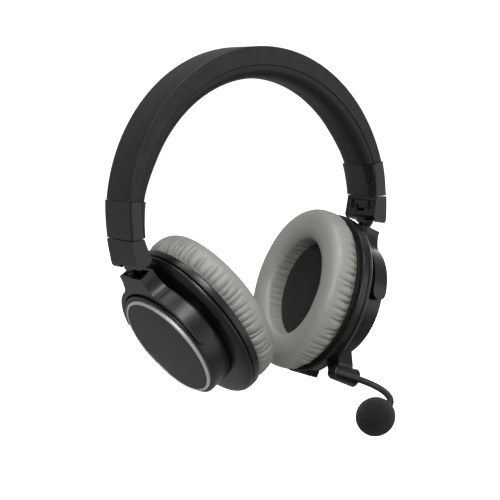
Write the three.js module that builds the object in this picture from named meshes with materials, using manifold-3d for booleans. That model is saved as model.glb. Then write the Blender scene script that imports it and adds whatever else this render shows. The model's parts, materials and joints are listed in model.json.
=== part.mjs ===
// Office headset: a padded headband, two folding ear cups on sliding, swivelling yokes, and a boom
// microphone.
// Lengths are millimetres, angles degrees. +X is the microphone side, +Y is behind the wearer, +Z is up.
// The origin is the point of the headband pad that rests on the wearer's crown.
// Each side is built outward along +X in its own group, and the other side is that group turned half round.

import * as THREE from "three";
import { mergeVertices } from "three/addons/utils/BufferGeometryUtils.js";
import Module from "manifold-3d";

const wasm = await Module();
wasm.setup();

// ---------------------------------------------------------------- driving dimensions

const GAP = 0.3; // between two pieces that touch on the real headset
const WELD = 1e-4;

// Headband arch, as polar coordinates about a centre on the level of the arch's widest point.
const HALF_WIDTH = 85; // outer face, at the level of the centre
const ARCH_FLATTEN = 8.3;
const ARCH_ROUND = 3.8;
const BAND_WIDTH = 24;
const BAND_WALL = 1.3;
const BAND_DEPTH_END = 5.1; // height of the cover's side walls at the ends of the arch
const BAND_DEPTH_GAIN = 4.9; // how much higher they are at the top
const PAD_RISE = 7.2;
const PAD_RISE_END = 5.8;
const CORE_FROM = 20; // the stiffener and the spring start this far up the arch

// Arc that the sleeves, the sliders and their strips all follow, for the +X side.
const ARC = { x: -27.1, z: -5.5, radius: 112 };
const SLEEVE_WIDTH = 26;
const SLEEVE_DEPTH = 7.2;
const SLEEVE_TOP = 7.5;
const SEAM = -2.6;
const SEAM_GAP = 0.25;
const STRIP_DEPTH = 3.6;
const STRIP_WIDTH = 13;

// Fold hinge, stub and yoke, for the +X side.
const HINGE = { x: 77.4, z: -21.4 };
const KNUCKLE_RADIUS = 2.8;
const STUB_OFFSET = 3.3; // the stub's axis lies this far outboard of the hinge
const DROP = 51.7; // from the hinge down to the centre of the cup
const YOKE_OUTER = 36.6;
const YOKE_INNER = 33.6;
const YOKE_HALF_DEPTH = 4.5;
const COLLAR_TOP = 44.3;
const POCKET_FLOOR = 37.2;
const PIVOT_HEIGHT = 8.25;

// Ear cup, measured along its own axis from the stub's axis (positive is outboard).
const DISC_FACE = 7.1;
const TURRET_RADIUS = 32.5;
const LIP_RADIUS = 42.7;
const LIP_BACK = -13;
const LIP_FRONT = -17.6;
const OVAL = 3.6; // the lip and baffle are this much taller than wide, each way
const CUSHION_RADIUS = 39.9;
const CUSHION_BASE = 37.4;
const CUSHION_HEIGHT = 17.4;
const CUSHION_OVAL = 6; // the same for the cushion's outer wall, and less towards its middle
const SHELL_FLARE = [
  [-7.8, 33.1],
  [-8.2, 36],
  [-9.1, 39.2],
  [-10.3, 41.5],
  [-11.6, LIP_RADIUS - 0.3],
];

// Boom microphone, in the frame of the +X cup.
const BARREL = { y: -29.6, z: -41, radius: 5.2, capRadius: 4.1, inner: -13.4, outer: 3.2 };
const GOOSENECK_RADIUS = 1.85;
const WINDSCREEN = { x: 8.1, y: -50.8, z: -58.5, radius: 10.5, length: 11.1 };
const BOOM_END = new THREE.Vector3(-0.8, -0.19, -0.57).normalize();

// How the headset lies at rest: each cup folded inwards, turned about its stub, and tilted in its yoke.
const SIDES = [
  { name: "left", turn: 0, fold: 29.9, swivel: -4.8, tilt: -4.6, ends: ["front", "back"] },
  { name: "right", turn: 180, fold: 27.7, swivel: 0, tilt: 1, ends: ["back", "front"] },
];

const ROUND_STEPS = 40;
const SMALL_STEPS = 12;

// ---------------------------------------------------------------- finishes

const finish = (color, roughness, metalness = 0) => ({ color, roughness, metalness });
const LEATHERETTE = finish(0x232323, 0.6);
const SATIN_BLACK = finish(0x1b1b1b, 0.42);
const GLOSS_BLACK = finish(0x141414, 0.25);
const DARK_GREY = finish(0x333333, 0.5, 0.3);
const GREY_LEATHER = finish(0x8f8f88, 0.6);
const STEEL = finish(0xb8b8b8, 0.3, 1);
const CLOTH = finish(0x141414, 0.95);
const FOAM = finish(0x1d1d1d, 1);
const RUBBER = finish(0x181818, 0.7);

// ---------------------------------------------------------------- solid tools

const rad = THREE.MathUtils.degToRad;
const vec2 = (x, y) => new THREE.Vector2(x, y);
const points2 = (pairs) => pairs.map(([x, y]) => vec2(x, y));

// A manifold solid from a closed geometry, with its faces turned outwards.
function solid(geometry) {
  const bare = geometry.index ? geometry.toNonIndexed() : geometry.clone();
  bare.deleteAttribute("normal");
  bare.deleteAttribute("uv");
  const merged = mergeVertices(bare, WELD);
  const corners = merged.index.array;
  const triangles = [];
  for (let i = 0; i < corners.length; i += 3) {
    const [a, b, c] = corners.slice(i, i + 3);
    if (a !== b && b !== c && c !== a) triangles.push(a, b, c);
  }
  const build = (list) =>
    new wasm.Manifold(
      new wasm.Mesh({
        numProp: 3,
        vertProperties: merged.attributes.position.array,
        triVerts: new Uint32Array(list),
      }),
    );
  const made = build(triangles);
  return made.volume() > 0 ? made : build(triangles.reverse());
}

function geometryOf(shape) {
  const mesh = shape.getMesh();
  const geometry = new THREE.BufferGeometry();
  const positions = new Float32Array(mesh.numVert * 3);
  for (let i = 0; i < mesh.numVert; i++) {
    const start = i * mesh.numProp;
    positions.set(mesh.vertProperties.subarray(start, start + 3), i * 3);
  }
  geometry.setAttribute("position", new THREE.BufferAttribute(positions, 3));
  geometry.setIndex(new THREE.BufferAttribute(mesh.triVerts.slice(), 1));
  geometry.computeVertexNormals();
  return geometry;
}

const join = (first, ...others) => others.reduce((all, next) => all.add(next), first);
const cut = (first, ...others) => others.reduce((all, next) => all.subtract(next), first);

function piece(group, name, shape, look) {
  const mesh = new THREE.Mesh(geometryOf(shape), new THREE.MeshStandardMaterial(look));
  mesh.name = name;
  group.add(mesh);
  return mesh;
}

// A box between two opposite corners.
function box(low, high) {
  const size = high.map((value, i) => value - low[i]);
  const middle = high.map((value, i) => (value + low[i]) / 2);
  return solid(new THREE.BoxGeometry(...size).translate(...middle));
}

// A cylinder along one axis, between two levels on that axis, about a centre given as [x, y, z].
function rod(axis, from, to, radius, centre = [0, 0, 0], steps = SMALL_STEPS, endRadius = radius) {
  const geometry = new THREE.CylinderGeometry(endRadius, radius, to - from, steps);
  if (axis === "x") geometry.rotateZ(-Math.PI / 2);
  if (axis === "z") geometry.rotateX(Math.PI / 2);
  const middle = (from + to) / 2;
  const place = centre.slice();
  place["xyz".indexOf(axis)] = middle;
  return solid(geometry.translate(...place));
}

// A surface of revolution about X. The profile holds [x, radius] pairs, and starts and ends on the axis,
// or closes on itself.
function turned(profile, steps = ROUND_STEPS) {
  const outline = profile.map(([along, radius]) => vec2(radius, along));
  return new THREE.LatheGeometry(outline, steps).rotateZ(-Math.PI / 2);
}

// Makes a turned geometry taller than wide. Points inside radius `from` stay, and those past `to` move
// by the full amount.
function ovalise(geometry, from, to, amount = OVAL) {
  const position = geometry.getAttribute("position");
  for (let i = 0; i < position.count; i++) {
    const radius = Math.hypot(position.getY(i), position.getZ(i));
    if (radius < WELD) continue;
    const share = THREE.MathUtils.clamp((radius - from) / (to - from), 0, 1);
    position.setZ(i, position.getZ(i) * (1 + (share * amount) / radius));
  }
  return geometry;
}

// A flat outline drawn in the (Y, Z) plane, extruded along X between two levels.
function plateAcrossX(shape, from, to, curveSteps = 12) {
  const options = { depth: to - from, bevelEnabled: false, curveSegments: curveSteps };
  const geometry = new THREE.ExtrudeGeometry(shape, options);
  return solid(geometry.rotateX(Math.PI / 2).rotateZ(Math.PI / 2).translate(from, 0, 0));
}

// A flat outline drawn in the (X, Z) plane, extruded along Y between two levels.
function plateAcrossY(shape, from, to, curveSteps = 8) {
  const options = { depth: to - from, bevelEnabled: false, curveSegments: curveSteps };
  const geometry = new THREE.ExtrudeGeometry(shape, options);
  return solid(geometry.rotateX(Math.PI / 2).translate(0, to, 0));
}

// Joins a row of outlines into one closed solid. Each station has an outline of 2D points, and place(point)
// gives a point's 3D place.
function loft(stations) {
  const rings = stations.map(({ outline, place }) => outline.map(place));
  const count = rings[0].length;
  const triangles = [];
  const add = (...corners) => corners.forEach((corner) => triangles.push(...corner.toArray()));
  for (let i = 0; i + 1 < rings.length; i++) {
    for (let j = 0; j < count; j++) {
      const next = (j + 1) % count;
      add(rings[i][j], rings[i][next], rings[i + 1][next]);
      add(rings[i][j], rings[i + 1][next], rings[i + 1][j]);
    }
  }
  const closeEnd = (ring, outline, sameWay) => {
    const wanted = Math.sign(THREE.ShapeUtils.area(outline)) * (sameWay ? 1 : -1);
    for (const face of THREE.ShapeUtils.triangulateShape(outline, [])) {
      const turn = Math.sign(THREE.ShapeUtils.area(face.map((k) => outline[k])));
      const order = turn === wanted ? face : face.toReversed();
      add(...order.map((k) => ring[k]));
    }
  };
  closeEnd(rings[0], stations[0].outline, false);
  closeEnd(rings.at(-1), stations.at(-1).outline, true);
  const geometry = new THREE.BufferGeometry();
  geometry.setAttribute("position", new THREE.Float32BufferAttribute(triangles, 3));
  return solid(geometry);
}

const steps = (from, to, count) =>
  Array.from({ length: count + 1 }, (_, i) => from + ((to - from) * i) / count);

// ---------------------------------------------------------------- arch and arc coordinates

const bandRadius = (t) => HALF_WIDTH - ARCH_FLATTEN * Math.sin(t) + ARCH_ROUND * Math.sin(t) ** 2;
const bandDepth = (t) => BAND_DEPTH_END + BAND_DEPTH_GAIN * Math.sin(t);
const ARCH_TO_PAD = bandRadius(Math.PI / 2) - bandDepth(Math.PI / 2) - PAD_RISE;

// A point of the arch at polar angle t, `across` from its middle line and `depth` in from its outer face.
function bandPoint(t, across, depth) {
  const radius = bandRadius(t);
  const growth = (2 * ARCH_ROUND * Math.sin(t) - ARCH_FLATTEN) * Math.cos(t);
  const length = Math.hypot(radius, growth);
  const outX = (radius * Math.cos(t) + growth * Math.sin(t)) / length;
  const outZ = (radius * Math.sin(t) - growth * Math.cos(t)) / length;
  return new THREE.Vector3(
    radius * Math.cos(t) - depth * outX,
    across,
    radius * Math.sin(t) - depth * outZ,
  );
}

function arcPoint(angle, across, depth) {
  const radius = ARC.radius - depth;
  const turn = rad(angle);
  return new THREE.Vector3(
    ARC.x + radius * Math.cos(turn),
    across,
    ARC.z + radius * Math.sin(turn),
  );
}

// A solid that runs over the arch. outlineAt(t) gives its section as (across, depth) points.
function overArch(from, to, count, outlineAt) {
  return loft(
    steps(rad(from), rad(to), count).map((t) => ({
      outline: outlineAt(t),
      place: (p) => bandPoint(t, p.x, p.y),
    })),
  );
}

// A solid that runs along a side's arc. outlineAt(angle) gives its section as (across, depth) points.
function alongArc(from, to, count, outlineAt) {
  return loft(
    steps(from, to, count).map((angle) => ({
      outline: outlineAt(angle),
      place: (p) => arcPoint(angle, p.x, p.y),
    })),
  );
}

const bar = (halfWidth, near, far) =>
  points2([
    [-halfWidth, near],
    [halfWidth, near],
    [halfWidth, far],
    [-halfWidth, far],
  ]);

// A channel section: a flat wall with a side wall along each edge, open on its inner side.
function channel(halfWidth, depth, wall, chamfer) {
  return points2([
    [-halfWidth, chamfer],
    [chamfer - halfWidth, 0],
    [halfWidth - chamfer, 0],
    [halfWidth, chamfer],
    [halfWidth, depth],
    [halfWidth - wall, depth],
    [halfWidth - wall, wall],
    [wall - halfWidth, wall],
    [wall - halfWidth, depth],
    [-halfWidth, depth],
  ]);
}

// A D-shaped section: flat at depth `base`, with low side faces and a crown that stands `rise` above it.
function crowned(halfWidth, base, rise, count, sideShare) {
  const crown = steps(0, Math.PI, count).map((turn) => {
    const across = halfWidth * Math.cos(turn);
    const share = Math.sqrt(1 - Math.abs(Math.cos(turn)) ** 3);
    return vec2(across, base + rise * (sideShare + (1 - sideShare) * share));
  });
  return [vec2(-halfWidth, base), vec2(halfWidth, base), ...crown];
}

// ---------------------------------------------------------------- headband

// A block below the level of the sleeve tops on one side: what it covers is cut from the arch's pieces.
function belowSleeveTop(direction) {
  const size = 60;
  const geometry = new THREE.BoxGeometry(size, size, size);
  geometry.translate(ARC.radius - size / 4, 0, -size / 2);
  geometry.rotateY(-rad(SLEEVE_TOP + SEAM_GAP));
  geometry.translate(ARC.x, 0, ARC.z);
  if (direction < 0) geometry.rotateZ(Math.PI);
  return solid(geometry);
}

function padRise(t) {
  const share = THREE.MathUtils.smoothstep(Math.sin(t), Math.sin(rad(6)), Math.sin(rad(25)));
  return PAD_RISE_END + (PAD_RISE - PAD_RISE_END) * share;
}

function headband(group) {
  const ends = [belowSleeveTop(1), belowSleeveTop(-1)];
  const half = BAND_WIDTH / 2;
  const cover = overArch(4, 176, 32, (t) => channel(half, bandDepth(t), BAND_WALL, 0.6));
  piece(group, "headband_cover", cut(cover, ...ends), LEATHERETTE);

  const pad = overArch(4, 176, 32, (t) =>
    crowned(half - 0.5, bandDepth(t) + GAP, padRise(t) - GAP, 8, 0.3),
  );
  piece(group, "headband_pad", cut(pad, ...ends), LEATHERETTE);

  const core = overArch(CORE_FROM, 180 - CORE_FROM, 18, (t) =>
    bar(half - BAND_WALL - 0.9, bandDepth(t) - 1.5, bandDepth(t) - 0.2),
  );
  piece(group, "headband_stiffener", core, SATIN_BLACK);

  const spring = overArch(CORE_FROM, 180 - CORE_FROM, 18, () => bar(6, 1.7, 2.4));
  piece(group, "spring_band", spring, STEEL);
}

// ---------------------------------------------------------------- sleeve at the end of the headband

function sleeve(group, side) {
  const half = SLEEVE_WIDTH / 2;
  const wall = 1.3;
  const floor = SEAM + 0.8;
  const outer = cut(
    join(
      alongArc(SEAM, SLEEVE_TOP, 5, () => channel(half, SLEEVE_DEPTH, wall, 0.6)),
      alongArc(SEAM, floor, 1, () => bar(half - 0.6, wall / 2, SLEEVE_DEPTH)),
    ),
    alongArc(SEAM - 1, floor + 1, 1, () =>
      bar(STRIP_WIDTH / 2 + 0.6, STRIP_DEPTH - 0.8, STRIP_DEPTH + 0.8),
    ),
  );
  piece(group, `sleeve_outer_shell_${side}`, outer, SATIN_BLACK);

  const base = SLEEVE_DEPTH + GAP;
  const rise = (angle) => 1.3 + (2.7 * (angle - SEAM)) / (SLEEVE_TOP - SEAM);
  const screwAt = { angle: 2.4, across: -8.6 };
  const tongue = join(
    alongArc(0.2, 14.2, 4, () => bar(9, 4.6, 5.8)),
    alongArc(0.2, 6.4, 2, () => bar(9, 5.4, base + 1.2)),
  );
  const inner = join(
    cut(
      alongArc(SEAM, SLEEVE_TOP, 3, (angle) => crowned(half, base, rise(angle), 8, 0.25)),
      alongArc(floor, SLEEVE_TOP + 1, 3, (angle) =>
        crowned(half - wall, base - 1, rise(angle) - 0.3, 8, 0.25),
      ),
    ),
    cut(
      tongue,
      alongArc(-1, 7, 2, () => bar(7.2, 5.8, base + 3)),
    ),
  );
  const screwHole = rod("x", 60, 81, 1.5, screwPlace(screwAt));
  piece(group, `sleeve_inner_shell_${side}`, cut(inner, screwHole), SATIN_BLACK);

  const screw = join(
    rod("x", 74.6, 75.5, 1.2, screwPlace(screwAt), 12),
    rod("x", 75.4, 80.4, 0.7, screwPlace(screwAt), 10),
  );
  piece(group, `sleeve_screw_${side}`, screw, STEEL);
}

function screwPlace({ angle, across }) {
  return [0, across, arcPoint(angle, 0, SLEEVE_DEPTH).z];
}

// ---------------------------------------------------------------- slider: strip and block

// The strip's edges are notched, and the detent spring in the sleeve clicks into the notches.
function sliderStrip(group, side) {
  const toothPitch = 1.5;
  const firstTooth = 2.5;
  const teeth = 8;
  const half = STRIP_WIDTH / 2;
  const foot = half + 2.5; // the wide end that holds the strip in the block
  const section = (halfWidth) => bar(halfWidth, STRIP_DEPTH - 0.4, STRIP_DEPTH + 0.4);
  const angles = [[-6.3, foot], [-4.3, foot], [-4.2, half], [-2, half], [0.2, half]];
  for (let i = 0; i < teeth; i++) {
    const at = firstTooth + i * toothPitch;
    angles.push([at, half], [at + 0.2, half - 0.8], [at + 0.7, half - 0.8], [at + 0.9, half]);
  }
  angles.push([firstTooth + teeth * toothPitch + 0.6, half]);
  const strip = loft(
    angles.map(([angle, halfWidth]) => ({
      outline: section(halfWidth),
      place: (p) => arcPoint(angle, p.x, p.y),
    })),
  );
  piece(group, `slider_strip_${side}`, strip, STEEL);
}

function detentSpring(group, side) {
  const near = STRIP_WIDTH / 2 + 0.5;
  const leaf = join(
    alongArc(0.3, 6, 2, () => shifted(bar(0.35, 2.6, 4.4), near + 1.3)),
    alongArc(2.6, 3.6, 1, () => shifted(bar(0.8, 2.9, 4.1), near + 0.9)),
  );
  piece(group, `detent_spring_${side}`, leaf, STEEL);
}

const shifted = (outline, across) => outline.map((p) => vec2(p.x + across, p.y));

// The block's outline from the front: the arc outside, a round lower corner, and the swell round the hinge.
function blockOutline(inset) {
  const shape = new THREE.Shape();
  const at = (angle, depth) => arcPoint(angle, 0, depth);
  const bottom = HINGE.z - 4.2 + inset;
  const corner = 3.6;
  const top = SEAM - SEAM_GAP;
  const outer = steps(top, -8.4, 4).map((angle) => at(angle, inset));
  shape.moveTo(at(top, SLEEVE_DEPTH).x, at(top, SLEEVE_DEPTH).z);
  outer.forEach((p) => shape.lineTo(p.x, p.z));
  const last = outer.at(-1);
  shape.quadraticCurveTo(last.x - 0.4, bottom, last.x - corner, bottom);
  shape.lineTo(HINGE.x, bottom);
  const swell = KNUCKLE_RADIUS + 0.2 - inset;
  shape.absarc(HINGE.x, HINGE.z, swell, -Math.PI / 2, rad(-215), true);
  return shape;
}

function sliderBlock(group, side, ends) {
  const half = SLEEVE_WIDTH / 2 - 0.1;
  const wall = 1.4;
  const pin = [HINGE.x, 0, HINGE.z];
  const top = arcPoint(SEAM - SEAM_GAP, 0, 0).z;
  const inside = box([60, wall - half, HINGE.z + 0.2], [HINGE.x + 5, half - wall, top - 1.5]);
  const below = box([60, wall - half, -40], [HINGE.x + 6.2, half - wall, HINGE.z + 1]);
  const shell = cut(
    plateAcrossY(blockOutline(0), -half, half),
    inside,
    below,
    rod("y", 0.5 - half, half - 0.5, 1.5, pin),
    alongArc(-6.5, SEAM, 2, () =>
      bar(STRIP_WIDTH / 2 + 0.3, STRIP_DEPTH - 0.7, STRIP_DEPTH + 0.7),
    ),
  );
  piece(group, `slider_block_${side}`, shell, SATIN_BLACK);

  const slot = 3.1;
  const face = new THREE.Shape();
  const plateTop = top - 1.9;
  face.moveTo(76.6, plateTop);
  face.lineTo(78.2, plateTop);
  face.lineTo(78.2, HINGE.z + 2.8);
  face.lineTo(HINGE.x - 2.6, HINGE.z + 0.8);
  face.closePath();
  const screws = [-7.2, 7.2].map((y) => [0, y, HINGE.z + 5.4]);
  const cover = cut(
    join(
      plateAcrossY(face, wall - half + GAP, half - wall - GAP),
      rod("y", wall - half + GAP, half - wall - GAP, KNUCKLE_RADIUS, pin, 18),
    ),
    box([70, -slot, -40], [90, slot, HINGE.z + 3.9]),
    box([70, -4.4, HINGE.z + 3.5], [76.9, 4.4, HINGE.z + 5.6]),
    rod("y", -20, 20, 1.5, pin),
    ...screws.map((place) => rod("x", 70, 77.1, 1.8, place)),
    ...screws.map((place) => rod("x", 70, 90, 1.0, place, 10)),
  );
  piece(group, `hinge_knuckle_cover_${side}`, cover, SATIN_BLACK);

  screws.forEach((place, i) => {
    const shape = join(
      rod("x", 76.0, 76.8, 1.5, place, 12),
      rod("x", 76.7, 79.8, 0.7, place, 10),
    );
    piece(group, `block_screw_${ends[i]}_${side}`, shape, STEEL);
  });
  piece(group, `hinge_pin_${side}`, rod("y", 0.8 - half, half - 0.8, 1.2, pin), STEEL);
}

// ---------------------------------------------------------------- stub, yoke and pivots

// Drawn about the hinge: X is outboard, Z runs up the stub.
function hingeStub(group, side) {
  const postFoot = POCKET_FLOOR + GAP - DROP;
  const post = [STUB_OFFSET, 0, 0];
  const collar = COLLAR_TOP - DROP;
  const clear = KNUCKLE_RADIUS + GAP;
  const funnel = cut(
    rod("z", collar - 0.5, -2.2, 2.8, post, 24, 3.9),
    box([-5, -5, -4], [10, 5, 0]).subtract(box([-5, -5, -5], [STUB_OFFSET + 2.7, 5, 1])),
    rod("y", 2.8, 6, clear, [0, 0, 0], 18),
    rod("y", -6, -2.8, clear, [0, 0, 0], 18),
  );
  const shape = cut(
    join(
      rod("y", -2.8, 2.8, KNUCKLE_RADIUS, [0, 0, 0], 18),
      box([-1.2, -2.8, -5], [STUB_OFFSET + 2.6, 2.8, -0.4]),
      rod("z", postFoot, -3.4, 2.8, post, 24),
      funnel,
    ),
    rod("y", -5, 5, 1.5),
    rod("z", postFoot - 1, postFoot + 7.6, 1.35, post),
  );
  piece(group, `hinge_stub_${side}`, shape, SATIN_BLACK);
}

// Drawn about the centre of the cup: X is outboard of the stub's axis, Z runs up to the stub.
function yoke(group, side, ends) {
  const collarHalf = 10.4;
  const shape = new THREE.Shape();
  const shoulder = rad(63.5);
  const foot = rad(5.7);
  shape.moveTo(-collarHalf, COLLAR_TOP);
  shape.lineTo(-collarHalf - 0.3, COLLAR_TOP - 3);
  const neck = vec2(YOKE_OUTER * Math.cos(shoulder), YOKE_OUTER * Math.sin(shoulder));
  shape.quadraticCurveTo(-12.2, 37, -neck.x, neck.y);
  shape.absarc(0, 0, YOKE_OUTER, Math.PI - shoulder, Math.PI - foot, false);
  shape.absarc(0, 0, YOKE_INNER, Math.PI - foot, foot, true);
  shape.absarc(0, 0, YOKE_OUTER, foot, shoulder, false);
  shape.quadraticCurveTo(12.2, 37, collarHalf + 0.3, COLLAR_TOP - 3);
  shape.lineTo(collarHalf, COLLAR_TOP);
  shape.closePath();
  const silhouette = new THREE.Shape();
  silhouette.moveTo(-YOKE_HALF_DEPTH, 60);
  silhouette.absarc(0, PIVOT_HEIGHT, YOKE_HALF_DEPTH, Math.PI, 0, false);
  silhouette.lineTo(YOKE_HALF_DEPTH, 60);
  silhouette.closePath();
  const pocket = { x: 3.2, y: 8.8 };
  const body = plateAcrossX(shape, -YOKE_HALF_DEPTH, YOKE_HALF_DEPTH, 12)
    .intersect(plateAcrossY(silhouette, -40, 40, 8));
  const made = cut(
    body,
    box([-pocket.x, -pocket.y, POCKET_FLOOR], [pocket.x, pocket.y, 60]),
    rod("z", 30, 40, 1.35),
    rod("z", 30, 35.6, 2.9),
    rod("y", -35.4, 35.4, 1.5, [0, 0, PIVOT_HEIGHT]),
  );
  piece(group, `yoke_${side}`, made, SATIN_BLACK);

  const bolt = join(
    rod("z", 34.0, 35.2, 2.5),
    rod("z", 35.1, 43.6, 1.05),
  );
  piece(group, `swivel_bolt_${side}`, bolt, STEEL);
  const levels = [[-35.1, -30.2], [30.2, 35.1]];
  levels.forEach(([from, to], i) => {
    const pivot = rod("y", from, to, 1.2, [0, 0, PIVOT_HEIGHT]);
    piece(group, `pivot_pin_${ends[i]}_${side}`, pivot, STEEL);
  });
}

// ---------------------------------------------------------------- ear cup

const closed = (profile) => [...profile, profile[0]];

function cupShell() {
  const shell = ovalise(
    turned([
      [DISC_FACE - 3, 0],
      [DISC_FACE - 3, 30.7],
      [DISC_FACE - 1.5, 30.8],
      [DISC_FACE - 1.7, TURRET_RADIUS - 0.3],
      [DISC_FACE - 2.1, TURRET_RADIUS],
      [-6.9, TURRET_RADIUS],
      [-6.9, TURRET_RADIUS - 0.7],
      [-7.7, TURRET_RADIUS - 0.7],
      ...SHELL_FLARE,
      [LIP_BACK, LIP_RADIUS - 0.3],
      [LIP_BACK, LIP_RADIUS - 2.1],
      [-12, LIP_RADIUS - 2.5],
      [-10.7, 38.9],
      [-9.6, 34.6],
      [-9.3, 30.3],
      [DISC_FACE - 4.6, 30.3],
      [DISC_FACE - 4.6, 0],
    ]),
    33,
    40,
  );
  return cut(solid(shell), rod("y", -40, 40, 1.5, [0, 0, PIVOT_HEIGHT]));
}

function cup(group, side) {
  piece(group, `cup_shell_${side}`, cupShell(), SATIN_BLACK);

  const disc = turned([
    [DISC_FACE - 2.6, 0],
    [DISC_FACE - 2.6, 28.5],
    [DISC_FACE - 0.8, 28.5],
    [DISC_FACE - 0.4, 28],
    [DISC_FACE - 0.4, 0],
  ].reverse());
  piece(group, `outer_disc_${side}`, solid(disc), DARK_GREY);

  const trim = turned(closed([
    [DISC_FACE - 2.6, 28.8],
    [DISC_FACE - 2.6, 30.3],
    [DISC_FACE - 0.8, 30.3],
    [DISC_FACE - 0.1, 29.9],
    [DISC_FACE, 28.8],
  ]));
  piece(group, `trim_ring_${side}`, solid(trim), STEEL);

  const lip = ovalise(
    turned(closed([
      [LIP_BACK - GAP, LIP_RADIUS - 0.3],
      [LIP_BACK - 0.8, LIP_RADIUS],
      [LIP_FRONT + 0.6, LIP_RADIUS],
      [LIP_FRONT, LIP_RADIUS - 0.6],
      [LIP_FRONT, 38.8],
      [-15.6, 38.8],
      [-15.6, 37.4],
      [-14.4, 37.4],
      [-14.4, 40.2],
      [LIP_BACK - GAP, 40.2],
    ])),
    20,
    30,
  );
  piece(group, `cup_rim_${side}`, solid(lip), SATIN_BLACK);

  const baffle = ovalise(
    turned(closed([
      [-15.9, 19.3],
      [-15.9, 38.4],
      [LIP_FRONT, 38.4],
      [LIP_FRONT, 22.6],
      [-22, 21.8],
      [-22, 19.3],
    ])),
    19.3,
    21,
  );
  piece(group, `baffle_${side}`, solid(baffle), SATIN_BLACK);

  const driver = turned([
    [-20.9, 0],
    [-20.2, 6],
    [-21.6, 17],
    [-21.6, 18.9],
    [-19.4, 18.9],
    [-18.6, 17.5],
    [-13.6, 14.5],
    [-13.0, 11.2],
    [-9.2, 11],
    [-9.0, 0],
  ], 24);
  piece(group, `driver_${side}`, solid(driver), DARK_GREY);

  const clothDome = [
    [-22.3, 0],
    [-22.3, 23.3],
    [-23, 23.3],
    [-23.8, 12],
    [-24.1, 0],
  ];
  const cloth = ovalise(turned(clothDome, 28), 0, CUSHION_RADIUS, CUSHION_OVAL);
  piece(group, `speaker_cloth_${side}`, solid(cloth), CLOTH);

  const back = LIP_FRONT - GAP;
  const crest = LIP_FRONT - CUSHION_HEIGHT;
  const cushion = ovalise(
    turned(closed([
      [back, 23.8],
      [back, CUSHION_BASE],
      [back - 2.6, CUSHION_BASE + 1.5],
      [back - 5.6, CUSHION_RADIUS],
      [crest + 7, CUSHION_RADIUS],
      [crest + 3.6, CUSHION_RADIUS - 1.1],
      [crest + 1.4, CUSHION_RADIUS - 3.2],
      [crest + 0.2, CUSHION_RADIUS - 6],
      [crest, CUSHION_RADIUS - 8.2],
      [crest + 0.4, 28.4],
      [crest + 1.7, 25.9],
      [crest + 4.3, 24],
      [-23.4, 23.8],
    ])),
    0,
    CUSHION_RADIUS,
    CUSHION_OVAL,
  );
  piece(group, `ear_cushion_${side}`, solid(cushion), GREY_LEATHER);
}

// ---------------------------------------------------------------- boom microphone and cable inlet

// The cup's outside grown by the usual gap, which pieces that stand on the cup are cut back to.
function cupOutside() {
  const grown = ovalise(
    turned([
      [DISC_FACE + 3, 0],
      [DISC_FACE + 3, TURRET_RADIUS + GAP],
      [-7.2, TURRET_RADIUS + GAP],
      ...SHELL_FLARE.map(([along, radius]) => [along + GAP, radius + GAP]),
      [LIP_FRONT - GAP, LIP_RADIUS + GAP],
      [LIP_FRONT - GAP, 0],
    ]),
    33,
    40,
  );
  return solid(grown);
}

function microphone(group) {
  const { y, z, radius, capRadius, inner, outer } = BARREL;
  const centre = [0, y, z];
  const reach = Math.hypot(y, z);
  const along = vec2(y, z).divideScalar(reach);
  const aside = vec2(-along.y, along.x);
  const corner = (out, across) =>
    vec2(along.x * out + aside.x * across, along.y * out + aside.y * across);
  const web = new THREE.Shape([
    corner(30, -6.5),
    corner(36, -5.8),
    corner(reach - 3, -5),
    corner(reach, -2),
    corner(reach, 2),
    corner(reach - 3, 5),
    corner(36, 5.8),
    corner(30, 6.5),
  ]);
  const bore = 4.2;
  const cap = inner + capRadius;
  const capBall = new THREE.SphereGeometry(capRadius, 24, 12).rotateZ(Math.PI / 2);
  const bracket = cut(
    join(
      plateAcrossX(web, -11, 0),
      rod("x", cap, outer, capRadius, centre, 24, radius),
      solid(capBall.translate(cap, y, z)),
    ),
    cupOutside(),
    rod("x", outer - 9, outer + 1, bore, centre, 20),
  );
  piece(group, "mic_bracket", bracket, SATIN_BLACK);

  const drum = join(
    rod("x", outer - 8.7, outer - 0.5, bore - GAP, centre, 20),
    rod("x", outer - 0.6, outer + 1.1, 2.7, centre, SMALL_STEPS, 2.3),
  );
  piece(group, "mic_swivel_drum", drum, GLOSS_BLACK);

  const ball = new THREE.Vector3(WINDSCREEN.x, WINDSCREEN.y, WINDSCREEN.z);
  const route = new THREE.CubicBezierCurve3(
    new THREE.Vector3(outer + 1.4, y, z),
    new THREE.Vector3(outer + 10, y, z),
    ball.clone().addScaledVector(BOOM_END, -27.6),
    ball.clone().addScaledVector(BOOM_END, -5.2),
  );
  const section = new THREE.Shape().absarc(0, 0, GOOSENECK_RADIUS, 0, 2 * Math.PI);
  const tube = new THREE.ExtrudeGeometry(section, { extrudePath: route, steps: 22, curveSegments: 5 });
  piece(group, "gooseneck", solid(tube), RUBBER);

  const aim = new THREE.Quaternion().setFromUnitVectors(new THREE.Vector3(0, 1, 0), BOOM_END);
  const aimed = (geometry) => solid(geometry.applyQuaternion(aim).translate(...ball.toArray()));
  const stretch = WINDSCREEN.length / WINDSCREEN.radius;
  const foam = new THREE.SphereGeometry(WINDSCREEN.radius, 22, 12).scale(1, stretch, 1);
  const well = new THREE.CylinderGeometry(3.6, 3.6, 19, 16).translate(0, -4.5, 0);
  piece(group, "windscreen", cut(aimed(foam), aimed(well)), FOAM);
  const capsule = new THREE.CylinderGeometry(3.2, 3.2, 8.6, 16).translate(0, 0.3, 0);
  piece(group, "mic_capsule", aimed(capsule), DARK_GREY);
}

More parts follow.
